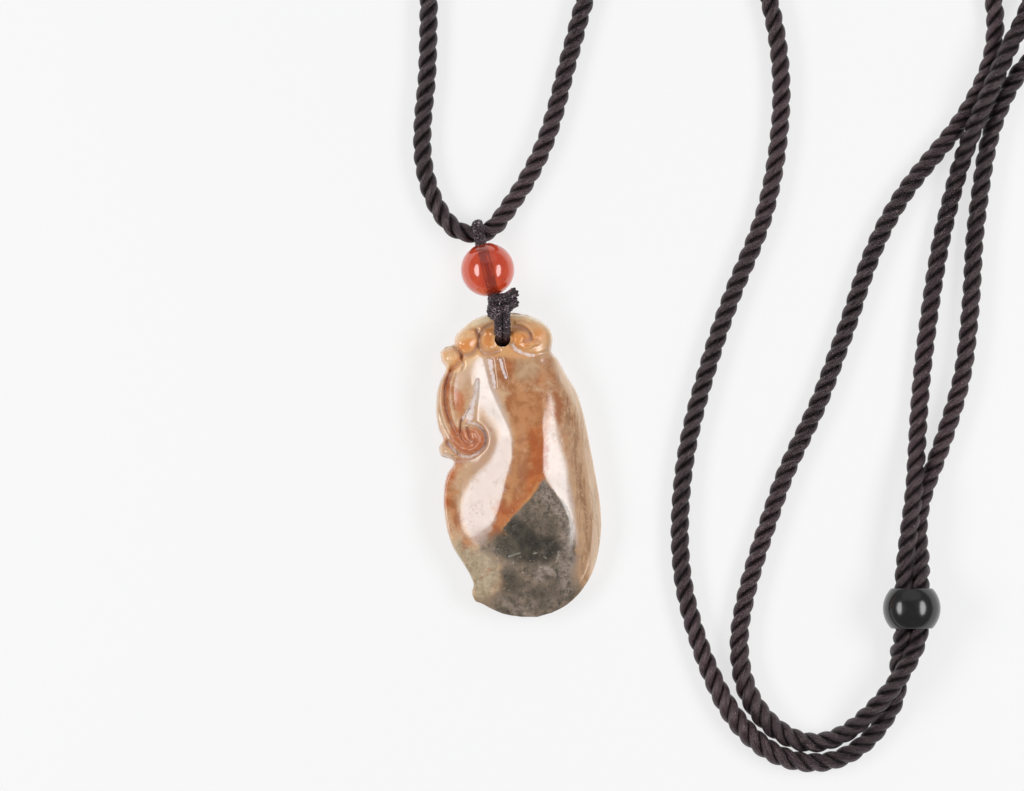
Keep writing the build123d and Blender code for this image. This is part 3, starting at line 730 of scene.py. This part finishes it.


# Patches of colour in the stone, two of them painted light: name, then for each outline its
# strength, the width of its soft border and its corners, all in pixels.
PATCHES = {
    "amber": [
        (0.62, 14, "488,352 520,358 550,362 570,392 576,420 566,456 552,440 548,410 530,396 "
         "508,398 494,380"),
        (1, 7, "503,400 520,390 552,395 547,440 545,478 530,505 508,536 490,546 494,520 505,480 "
         "513,440"),
        (0.9, 5, "495,360 516,358 516,377 500,382"),
        (0.85, 5, "450,386 460,388 466,404 464,416 454,416"),
        (0.9, 7, "447,480 458,490 458,505 466,530 473,543 466,545 455,526 445,505"),
        (0.55, 8, "446,372 458,362 472,366 470,386 462,396 452,386"),
        (0.3, 6, "590,495 598,530 600,560 594,578 590,560 592,530"),
    ],
    "rust": [
        (0.85, 8, "528,430 548,426 547,478 532,500 518,512 528,470"),
        (0.9, 7, "500,505 522,496 524,510 508,528 492,542 490,528"),
        (0.75, 6, "455,460 468,459 458,474 452,490 450,506 441,505 442,480"),
        (1, 4, "454,392 461,391 464,402 461,411 455,410"),
        (0.9, 4, "445,374 452,372 450,398 453,422 446,420 442,398"),
        (0.7, 4, "458,446 472,446 484,434 482,450 468,457"),
        (0.45, 6, "508,362 515,364 514,376 506,372"),
        (0.4, 10, "540,372 556,384 566,410 556,420 544,396"),
    ],
    "smoke": [
        (1, 4, "544,478 557,494 568,508 574,530 574,560 560,580 535,585 524,560 514,538 503,528 "
         "520,509 534,493"),
        (1, 11, "520,530 545,520 566,540 566,572 574,592 566,606 545,626 515,628 476,616 494,606 "
         "517,592 524,575 522,552"),
    ],
    "haze": [(1, 13,
        "497,532 540,520 572,540 576,575 584,590 572,606 545,626 515,628 470,616 480,602 498,590 "
        "500,574 500,564 490,556 480,549 488,538")],
    "blush": [(0.85, 8,
        "500,436 514,440 511,470 506,495 497,520 486,542 474,540 464,520 464,497 478,475 "
        "494,455")],
    "veil": [(0.75, 7, "514,362 530,359 540,364 536,378 522,382 513,374")],
    "fibrous": [(1, 7,
        "556,376 566,384 580,420 590,460 594,500 594,540 586,580 576,560 578,520 574,480 566,440 "
        "558,400")],
    "speckled": [(1, 4, "466,506 478,504 482,514 476,528 468,524")],
    "olive": [
        (1, 11, "494,544 499,530 512,517 524,522 538,534 552,536 562,548 548,560 528,562 512,560 "
         "500,554"),
        (0.5, 12, "520,514 545,514 560,530 552,540 530,530"),
        (0.8, 8, "498,570 515,568 520,586 506,592 495,586"),
        (0.5, 10, "530,588 552,584 560,592 545,602 528,598"),
    ],
    "pale_smoke": [
        (1, 4, "534,568 544,566 553,570 547,578 536,580"),
        (0.65, 10, "538,476 550,480 562,500 568,520 556,514 540,500"),
        (0.6, 10, "562,520 573,530 576,580 566,590 558,570"),
        (0.45, 10, "500,600 520,603 540,604 530,616 505,614"),
    ],
    "honey": [(1, 6,
        "438,345 454,328 476,323 492,318 512,316 530,320 545,330 547,345 530,358 500,356 478,358 "
        "462,372 438,368")],
    "cap_orange": [
        (0.8, 6, "459,342 471,337 477,345 468,353 458,350"),
        (0.9, 4, "484,331 492,329 492,346 484,347"),
        (0.8, 4, "512,332 524,333 530,345 520,348 512,342"),
        (0.6, 6, "532,328 543,330 542,342 533,342"),
        (0.5, 4, "442,351 447,351 447,362 443,362"),
        (0.6, 4, "455,357 462,358 462,366 452,372 446,370"),
    ],
    "umber": [
        (1, 4, "452,424 462,430 470,428 480,430 485,438 482,450 470,456 458,450 450,438"),
        (0.7, 5, "440,430 450,440 456,452 446,446"),
    ],
    "peach": [
        (1, 7, "554,350 568,366 588,400 600,450 608,500 608,550 598,582 589,572 593,530 589,490 "
         "583,440 572,402 558,376"),
        (0.5, 8, "454,372 470,360 478,366 470,384 458,390"),
        (0.6, 6, "434,380 440,376 437,398 438,418 432,412"),
    ],
    # Painted light: the cap's rim, pale stone painted lighter still, as if lit through the thin
    # stone.
    "cap_rim_pale_and_lit": [(0.9, 5,
        "446,334 466,317 490,306 512,302 536,306 556,320 564,350 554,348 546,329 524,320 500,319 "
        "480,325 462,332 450,344")],
    "beige_green": [(1, 14, "460,536 472,548 488,552 500,566 496,590 478,606 462,575 450,552")],
    # Painted highlight: a pale milky tone laid along the two reflection streaks, to whiten them.
    "pale_under_highlights": [
        (0.9, 8, "478,352 486,362 492,382 505,410 514,440 511,470 506,495 497,520 486,542 "
         "474,540 464,520 464,497 478,475 494,455 499,432 486,412 474,400 474,372"),
        (0.9, 6, "546,404 556,420 566,465 575,515 577,545 571,530 560,502 544,476 543,440"),
    ],
    "grey_hollow": [(0.9, 7, "484,418 496,428 500,450 494,464 480,474 472,466 486,448")],
}

# Fine lines in the stone: name, then for each its strength, its half width and its pixels.
STONE_LINES = {
    "grain": [
        (0.6, 1.1, "562,385 568,405 573,430 578,460 582,490"),
        (0.6, 0.8, "566,408 570,430 574,452 577,474"),
        (1, 2.4, "577,474 580,485 582,498 584,506"),
        (0.9, 1.5, "584,506 586,516 587,528"),
        (0.4, 0.7, "558,372 561,388 564,402"),
        (0.6, 1.4, "583,524 588,545 586,560"),
        (0.6, 2.2, "580,482 582,490 579,497"),
        (0.5, 2, "584,562 582,572 587,580"),
        (0.45, 0.9, "588,484 593,500 597,522 599,545 597,566 592,580"),
    ],
    "pale_line": [
        (0.55, 0.7, "509,556 515,554 520,552.5"),
        (1, 0.7, "558.5,551 558.2,555 557.6,558"),
        (0.7, 0.7, "544,556 546,557.5"),
        (0.4, 0.8, "540,566 549,569 556,567"),
    ],
    "gold_line": [
        (0.9, 2, "503,528 513,517 524,505 532,494 538,483"),
        (0.5, 2.5, "512,420 516,450 514,480 508,505"),
    ],
}

# Where the border of a patch starts and ends, if not at 0.1 and 0.9.
BORDERS = {"honey": (0.2, 0.8), "rust": (0.1, 1.1)}

# Powder and the shade painted in carved lines reach over this share of a carved line's width,
# and lie above this height.
POWDER_WIDTH = 0.8
POWDER_ABOVE = 2.0
# Only lines with more than POWDER_FROM hold powder. The shade painted in a line grows with what
# is left in it, and is half strong in those full of powder.
POWDER_FROM, POWDER_SPAN = 0.55, 0.45
GROOVE_SHADE_GAIN = 1.3
FULL_OF_POWDER, GROOVE_SHADE_WHEN_FULL = 0.7, 0.5


def paint(mesh):
    """Colour patches, powder, painted shade in the carved lines and grain lines as point attributes
    of the stone.
    """
    places = np.empty(len(mesh.vertices) * 3)
    mesh.vertices.foreach_get("co", places)
    x, y, height = places.reshape(-1, 3).T / MM
    u, v = to_pixel(x, y)
    amounts = {}
    for name, outlines in PATCHES.items():
        amounts[name] = np.max([strength * inside_patch(points_in(corners), soft, u, v)
                                for strength, soft, corners in outlines], axis=0)
    powder, groove_shade = np.zeros(u.shape), np.zeros(u.shape)
    for away, wide, deep, left_in in carved_lines(u, v):
        if left_in > 0:
            away = away / (POWDER_WIDTH * wide)
            full = max(left_in - POWDER_FROM, 0) / POWDER_SPAN
            tint = min(GROOVE_SHADE_GAIN * left_in, 1) if left_in < FULL_OF_POWDER else GROOVE_SHADE_WHEN_FULL
            groove_shade = np.maximum(groove_shade, tint * np.exp(-away**2))
            powder = np.maximum(powder, full * np.exp(-away**3))
    amounts["powder"] = np.where(height > POWDER_ABOVE, powder, 0)
    amounts["groove_shade"] = np.where(height > POWDER_ABOVE, groove_shade, 0)
    for name, lines in STONE_LINES.items():
        amounts[name] = np.max([
            strength * np.exp(-(nearest_on(smooth_through(points_in(pixels)), u, v)[0] / wide) ** 2)
            for strength, wide, pixels in lines], axis=0)
    for name, amount in amounts.items():
        mesh.attributes.new(name, "FLOAT", "POINT").data.foreach_set("value", amount)


def jade_mesh():
    """The stone before it is bored: carved front, rounded rim and flat back."""
    x, y, heights = stone_front()
    build = bmesh.new()
    bmesh.ops.create_grid(build, x_segments=STONE_COLUMNS, y_segments=STONE_ROWS, size=1)
    for vertex in build.verts:
        column = round((vertex.co.x + 1) / 2 * STONE_COLUMNS)
        row = round((vertex.co.y + 1) / 2 * STONE_ROWS)
        vertex.co = Vector((x[row, column], y[row, column], heights[row, column])) * MM
    middle = Vector((STONE_LEFT + STONE_WIDTH / 2, STONE_FOOT + STONE_LENGTH / 2, 0)) * MM
    rim = [edge for edge in build.edges if edge.is_boundary]
    before = 1.0
    for inset, height in RIM_RINGS:
        made = bmesh.ops.extrude_edge_only(build, edges=rim)["geom"]
        shrink = 1 - 2 * inset / STONE_WIDTH
        for vertex in new_vertices(made):
            offset = (vertex.co - middle) * (shrink / before)
            vertex.co = Vector((middle.x + offset.x, middle.y + offset.y, height * MM))
        rim = [part for part in made if isinstance(part, bmesh.types.BMEdge) and part.is_boundary]
        before = shrink
    bmesh.ops.contextual_create(build, geom=rim)
    bmesh.ops.recalc_face_normals(build, faces=build.faces)
    return finished_mesh("carved_jade", build)


def bored(mesh):
    """The stone with its hole, and the slope behind the hole that the thin cord lies in."""
    hole = bmesh.new()
    bmesh.ops.create_cone(hole, cap_ends=True, segments=CUTTER_SIDES,
                          radius1=HOLE_DIAMETER / 2 * MM, radius2=HOLE_DIAMETER / 2 * MM,
                          depth=CUTTER_LENGTH * MM)
    bmesh.ops.translate(hole, verts=hole.verts, vec=(HOLE_MIDDLE[0] * MM, HOLE_MIDDLE[1] * MM, 0))
    relief = bmesh.new()
    corners = [relief.verts.new((-RELIEF_WIDTH / 2 * MM, y * MM, z * MM)) for y, z in (
        (RELIEF_START, -HAIR), (RELIEF_START + RELIEF_DEPTH, RELIEF_DEPTH),
        (RELIEF_END, RELIEF_DEPTH), (RELIEF_END, RELIEF_BELOW), (RELIEF_START, RELIEF_BELOW))]
    face = relief.faces.new(corners)
    side = new_vertices(bmesh.ops.extrude_face_region(relief, geom=[face])["geom"])
    bmesh.ops.translate(relief, verts=side, vec=(RELIEF_WIDTH * MM, 0, 0))
    bmesh.ops.recalc_face_normals(relief, faces=relief.faces)
    stone = add_object("stone", mesh)
    tools = [add_object(name, finished_mesh(name, build))
             for name, build in (("hole_cutter", hole), ("relief_cutter", relief))]
    for tool in tools:
        cut = stone.modifiers.new(tool.name, "BOOLEAN")
        cut.operation, cut.solver, cut.object = "DIFFERENCE", "EXACT", tool
    view = bpy.context.evaluated_depsgraph_get()
    done = bpy.data.meshes.new_from_object(stone.evaluated_get(view))
    for thing in [stone] + tools:
        bpy.data.objects.remove(thing)
    done.name = "carved_jade"
    done.shade_smooth()
    return done


def jade_material():
    """Jade of many tones: the patches laid over one another, two of them painted light, then spots,
    grain, painted shade in the carved lines and powder.
    """
    shader = Shader("carved_jade")
    place, patch, times = shader.place(), shader.patch, shader.times
    broad = shader.noise(place, 95.0, detail=5.0, distortion=0.4)
    medium = shader.noise(place, 330.0, detail=6.0, roughness=0.65)
    clumps = shader.noise(shader.mapped(place, shift=(3, 1, 2)), 620.0, detail=8.0,
                          roughness=0.75)
    fine = shader.noise(place, 1700.0, detail=5.0, roughness=0.72)
    mottle = shader.maths("SUBTRACT", shader.total((medium, 0.45), (clumps, 0.35), (fine, 0.20)),
                          0.5)
    blotches = shader.total((clumps, 0.75), (fine, 0.25))
    drifts = shader.noise(shader.mapped(place, shift=(7, 3, 1)), 380.0, detail=3.0,
                          distortion=0.5)
    clouds = shader.total((drifts, 0.7), (clumps, 0.3))

    def ragged_patch(name, ragged, low=0.1, high=0.9):
        """A patch whose border is broken up by the stone's mottling."""
        return shader.span(shader.plus(patch(name), times(mottle, ragged)), low, high)

    def two_tone(first, second, pattern=blotches, low=0.4, high=0.6):
        return shader.mix(shader.span(pattern, low, high), colour(*first), colour(*second))

    def layered(tone, layers):
        """The tone with patches over it: name, raggedness, and a colour or a two-tone."""
        for name, ragged, first, *rest in layers:
            over = two_tone(first, *rest) if rest else colour(*first)
            tone = shader.mix(ragged_patch(name, ragged, *BORDERS.get(name, ())), tone, over)
        return tone

    def spots(vector, scale, low, high, detail=3.0):
        return shader.span(shader.noise(vector, scale, detail=detail), low, high)

    def tinted(tone, share, *tint):
        return shader.mix(share, tone, colour(*tint))

    tone = two_tone((222, 182, 144), (202, 159, 121),
                    shader.total((broad, 0.5), (clumps, 0.5)), 0.35, 0.65)
    tone = layered(tone, (
        ("beige_green", 2.0, (200, 180, 150), (162, 140, 108)),
        ("grey_hollow", 1.0, (202, 160, 128)),
        # Painted highlight along the reflection streaks.
        ("pale_under_highlights", 2.0, (216, 196, 184)),
        ("blush", 1.6, (196, 166, 150)),
        ("amber", 3.5, (205, 142, 92), (174, 108, 60), clouds, 0.40, 0.58),
        ("veil", 2.5, (206, 172, 136), (184, 140, 100), clouds, 0.42, 0.60),
        ("honey", 1.0, (240, 196, 144), (228, 172, 116), broad),
        ("cap_orange", 1.4, (230, 148, 70)),
        ("umber", 1.6, (206, 130, 88)),
        ("rust", 3.5, (202, 116, 56), (182, 92, 38), clouds)))
    tone = tinted(tone, times(patch("gold_line"), 0.7), 214, 156, 96)
    tone = layered(tone, (
        ("peach", 1.4, (238, 210, 182)),
        # The cap's rim: pale stone with painted light.
        ("cap_rim_pale_and_lit", 1.4, (255, 232, 194), (246, 212, 168), clouds, 0.44, 0.58)))

    smoke = layered(two_tone((96, 86, 72), (150, 130, 112)), (
        ("olive", 2.5, (44, 38, 29), (82, 74, 60), blotches, 0.40, 0.62),
        ("pale_smoke", 3.0, (124, 106, 96), (166, 150, 138), blotches, 0.40, 0.56)))
    tone = shader.mix(ragged_patch("haze", 1.6, 0.05, 0.95), tone,
                      tinted(smoke, 0.12, 150, 130, 100))
    tone = shader.mix(ragged_patch("smoke", 2.6, 0.3, 0.7), tone, smoke)

    # Spots, stronger in the smoke: where they are, their share there, their share everywhere.
    on_smoke = shader.maths("MAXIMUM", patch("smoke"), patch("haze"))
    stains = spots(shader.mapped(place, shift=(2, 8, 5)), 560.0, 0.60, 0.70)
    pits = spots(shader.mapped(place, (1, 0.6, 1)), 900.0, 0.62, 0.70)
    dust = spots(shader.mapped(place, shift=(1, 5, 2)), 2300.0, 0.56, 0.72)
    for marks, there, everywhere, tint in ((stains, 0.6, 0.0, (52, 40, 34)),
                                           (pits, 0.55, 0.07, (46, 38, 32)),
                                           (dust, 0.25, 0.05, (70, 52, 42))):
        share = shader.maths("MULTIPLY_ADD", on_smoke, there, everywhere)
        tone = tinted(tone, times(marks, share), *tint)
    flecks = spots(shader.mapped(place, shift=(4, 2, 1)), 1500.0, 0.66, 0.76, 2.0)
    tone = tinted(tone, times(flecks, 0.4), 220, 204, 186)
    broken = shader.span(fine, 0.36, 0.56, 0.2, 0.8)
    tone = tinted(tone, times(patch("pale_line"), broken), 206, 200, 186)

    fibres = shader.noise(shader.mapped(place, (1.0, 0.10, 0.3), (0, 0, -0.20)), 1500.0,
                          detail=3.0, roughness=0.6)
    sway = times(shader.maths("SUBTRACT", medium, 0.5), 0.5)
    fibres = times(shader.span(shader.plus(fibres, sway), 0.50, 0.62), 0.6)
    tone = tinted(tone, times(fibres, patch("fibrous")), 158, 110, 70)
    grain = times(patch("grain"), shader.span(fine, 0.38, 0.54))
    tone = tinted(tone, times(grain, 0.75), 138, 92, 58)
    specks = spots(place, 1900.0, 0.54, 0.62)
    tone = tinted(tone, times(specks, times(patch("speckled"), 0.5)), 150, 100, 88)

    # Painted shade: a purple-grey darkening along the carved lines.
    tone = tinted(tone, times(patch("groove_shade"), 0.62), 172, 138, 136)
    crumbs = times(shader.maths("SUBTRACT", fine, 0.5), 3.2)
    powder = times(shader.span(shader.plus(patch("powder"), crumbs), 0.15, 0.85),
                   shader.span(patch("powder"), 0.05, 0.3))
    tone = tinted(tone, times(powder, 0.9), 250, 236, 232)
    relief = shader.total((pits, -0.6), (powder, times(fine, 2.0)), (medium, 0.5))
    roughness = shader.plus(times(powder, 0.4), shader.span(clumps, 0.3, 0.7, 0.20, 0.27))
    shader.set(Base_Color=tone, Roughness=roughness, Normal=shader.bump(relief, 0.03),
               IOR=1.62, Coat_Weight=0.50, Coat_Roughness=0.16, Coat_IOR=1.6,
               Subsurface_Weight=0.2, Subsurface_Radius=(1.0, 0.6, 0.35),
               Subsurface_Scale=0.0025)
    return shader.material


stone_mesh = bored(jade_mesh())
paint(stone_mesh)
add_piece("carved_jade", stone_mesh, jade_material(), "jade_pendant")


# The thin braided cord.

BRAID_PITCH = 3.6
BRAID_STRANDS = 6
BRAID_STEP = 0.10
CORE_STEP = 0.15
CURVE_STEPS = 10
# Shares of the braid's lesser width: a strand's radius, and the plain core's.
STRAND_SHARE = 0.145
CORE_SHARE = 0.38
# How far a strand moves in and out as it crosses others, in its own radii.
WEAVE_SHARE = 0.6


def braid(control, width, thickness, side=ANY_SIDE):
    """Strands of a round or flat braid along a smooth line, over and under each other."""
    line, marks = even_steps(nurbs_points(control, CURVE_STEPS), BRAID_STEP)
    first, second = carried_frames(line, side)
    strand = STRAND_SHARE * min(width, thickness)
    wide, deep = width / 2 - strand, thickness / 2 - strand
    lines = []
    for way in (1, -1):
        for k in range(BRAID_STRANDS):
            start = 2 * math.pi * (k + (way < 0) * 0.5) / BRAID_STRANDS
            angle = way * 2 * math.pi * marks / BRAID_PITCH + start
            weave = np.sin(BRAID_STRANDS * 2 * math.pi * marks / BRAID_PITCH)
            weave = WEAVE_SHARE * strand * way * weave
            out = first * ((wide + weave) * np.cos(angle))[:, None]
            out = out + second * ((deep + weave) * np.sin(angle))[:, None]
            lines.append(line + out)
    return lines, strand


def braid_material():
    """Fine purple-black braid with small glints painted into its colour on some of its fibres."""
    shader = Shader("thin_braid")
    place = shader.place()
    fibres = shader.noise(shader.mapped(place, (1.0, 1.5, 1.0), (0.3, 0.2, 0.6)), 3800.0,
                          detail=4.0, roughness=0.7)
    clumps = shader.noise(place, 1300.0, detail=3.0)
    tone = shader.mix(shader.span(clumps, 0.36, 0.64), colour(12, 4, 7), colour(50, 27, 35))
    glints = shader.times(shader.span(fibres, 0.53, 0.63), shader.span(
        shader.noise(place, 900.0, detail=2.0), 0.42, 0.60, 0.25, 1.0))
    # Painted highlight: pale glints mixed into the colour.
    shader.set(Base_Color=shader.mix(glints, tone, colour(214, 190, 202)),
               Normal=shader.bump(fibres, 0.10), Roughness=0.34, Sheen_Weight=0.05,
               Sheen_Roughness=0.4)
    return shader.material


WRAP_MIDDLE = (-6.67, 30.75, 2.57)
WRAP_RADIUS = 1.86
WRAP_LEAN = 0.155
WRAP_STEPS = 12
WRAP_POINTS = 15


def wrap_round_cord():
    """The ring of thin cord round the neck cord, its end lapping over its start."""
    points = []
    for k in range(WRAP_POINTS):
        angle = 2 * math.pi * k / WRAP_STEPS
        up = -WRAP_RADIUS * math.cos(angle)
        points.append((WRAP_MIDDLE[0] - WRAP_LEAN * up, WRAP_MIDDLE[1] + up,
                       WRAP_MIDDLE[2] + WRAP_RADIUS * math.sin(angle)))
    return points


# Pieces of thin cord: the CAD node each stands for and its runs, each with the points it
# follows, its width, its thickness and, for the wrap, the side that it starts on. The run
# without points is the wrap.
THIN_CORD_RUNS = {
    "hanger_loop_braid": ("hanger_loop", [
        ("", 1.7, 1.1, (0, -1, 0)),
        ("-6.95,32.4,4 -6.75,31.4,4.75 -6.55,30.2,4.9 -6.4,29.3,4.6", 1.8, 1.3),
        ("-6.5,29.9,4.9 -6.3,29,4.55 -5.7,27,4.48 -5.2,24.8,4.48 -4.7,22.5,4.48 -4.3,20.8,4.6 "
         "-4.1,20.1,5.4 -3.9,19.6,5.9", 1.7, 1.6),
    ]),
    "hanger_knot_braid": ("hanger_knot", [
        ("-4.45,19.7,4.7 -4.2,20.1,6 -3.4,20,7 -2.2,20,6.9 -1.3,20.6,6.2 -0.6,21.1,5.7", 1.6, 1.6),
        ("-0.5,19.4,5.5 -1.2,19.2,6 -1.9,18.4,6.9 -2.9,17.6,7.3 -4.1,17,6.7 -4.6,17.7,5.9 "
         "-4.4,18.8,5.5 -3.6,19.3,5.4", 1.6, 1.6),
        ("-4.4,19.2,5.6 -4.3,18.4,6.6 -3.6,17.9,7.2 -2.5,17.9,7.2 -1.9,17.2,6.9", 1.4, 1.4),
    ]),
    "pendant_tie_braid": ("pendant_tie", [
        ("-3.5,18.4,5.8 -3.45,17.4,7 -3.4,16.3,8.2 -3.4,15,8.3 -3.38,14.25,7.2 -3.36,13.6,5.2 "
         "-3.34,12.7,3.6 -3.2,12.5,2.8 -2.9,13.3,1.5 -2.6,14.6,0.95 -2.4,17,0.95 "
         "-2.25,18.6,1.3 -2.3,19.2,3 -2.5,19,4.8", 1.35, 1.35),
        ("-2.3,18.3,5.8 -2.2,17.4,7.1 -2.1,16.3,8.2 -2.1,15,8.3 -2.12,14.25,7.2 -2.14,13.6,5.2 "
         "-2.16,12.7,3.6 -2.3,12.5,2.8 -2.5,13,2.2", 1.35, 1.35),
    ]),
}
thin_braid = braid_material()
for name, (node, runs) in THIN_CORD_RUNS.items():
    lines, radii = [], []
    for route, width, thickness, *side in runs:
        control = points_in(route) or wrap_round_cord()
        strands, radius = braid(control, width, thickness, *side)
        lines += strands + [even_steps(nurbs_points(control, CURVE_STEPS), CORE_STEP)[0]]
        radii += [radius] * len(strands) + [CORE_SHARE * min(width, thickness)]
    mesh = tubes_mesh(name, lines, radii, sides_setting=1)
    add_piece(name, mesh, thin_braid, node)


# The table, the lights and the camera.

FLOOR_HALF_WIDTH = 1.2
LAMP_COLOUR = (1.0, 0.995, 0.985)
ROOM_COLOUR = (0.96, 0.97, 1.0, 1)
ROOM_STRENGTH = 0.27
CAMERA_HEIGHT = 2.5
SENSOR = 36.0


def floor_material():
    shader = Shader("white_table")
    tone = shader.mix(shader.noise(shader.place(), 3.0), colour(141, 141, 142),
                      colour(143, 143, 143))
    shader.set(Base_Color=tone, Roughness=0.75, Specular_IOR_Level=0.1,
               Emission_Color=colour(255, 255, 255), Emission_Strength=0.69)
    return shader.material


build = bmesh.new()
bmesh.ops.create_grid(build, x_segments=2, y_segments=2, size=FLOOR_HALF_WIDTH)
floor = add_object("table", finished_mesh("table", build))
floor.data.materials.append(floor_material())

# Softboxes: name, place, size and power. All look down at the middle.
SOFTBOXES = [
    ("left_softbox", (-0.409, -0.01, 0.368), (0.21, 0.48), 1.5),
    ("right_softbox", (0.409, -0.01, 0.368), (0.21, 0.48), 1.5),
    ("far_softbox", (0.0, 0.75, 0.50), (1.30, 0.90), 0.80),
]
for name, place, (wide, high), power in SOFTBOXES:
    light = bpy.data.lights.new(name, "AREA")
    light.shape = "ELLIPSE"
    light.size = wide
    light.size_y = high
    light.energy = power
    light.color = LAMP_COLOUR
    lamp = add_object(name, light)
    lamp.location = place
    if name == "far_softbox":
        lamp.rotation_euler = (-math.atan2(place[1], place[2]), 0, 0)
    else:
        lamp.rotation_euler = (0, math.atan2(place[0], place[2]), 0)

world = bpy.data.worlds.new("soft_room")
world.use_nodes = True
world.node_tree.nodes["Background"].inputs["Color"].default_value = ROOM_COLOUR
world.node_tree.nodes["Background"].inputs["Strength"].default_value = ROOM_STRENGTH
bpy.context.scene.world = world
bpy.context.scene.view_settings.view_transform = "Standard"

camera_data = bpy.data.cameras.new("photo_camera")
camera_data.sensor_width = SENSOR
camera_data.lens = SENSOR * CAMERA_HEIGHT / (IMAGE_SIZE[0] / PIXELS_PER_MM * MM)
camera = add_object("photo_camera", camera_data)
middle = from_pixel(IMAGE_SIZE[0] / 2, IMAGE_SIZE[1] / 2)
camera.location = (middle[0] * MM, middle[1] * MM, CAMERA_HEIGHT)
bpy.context.scene.camera = camera
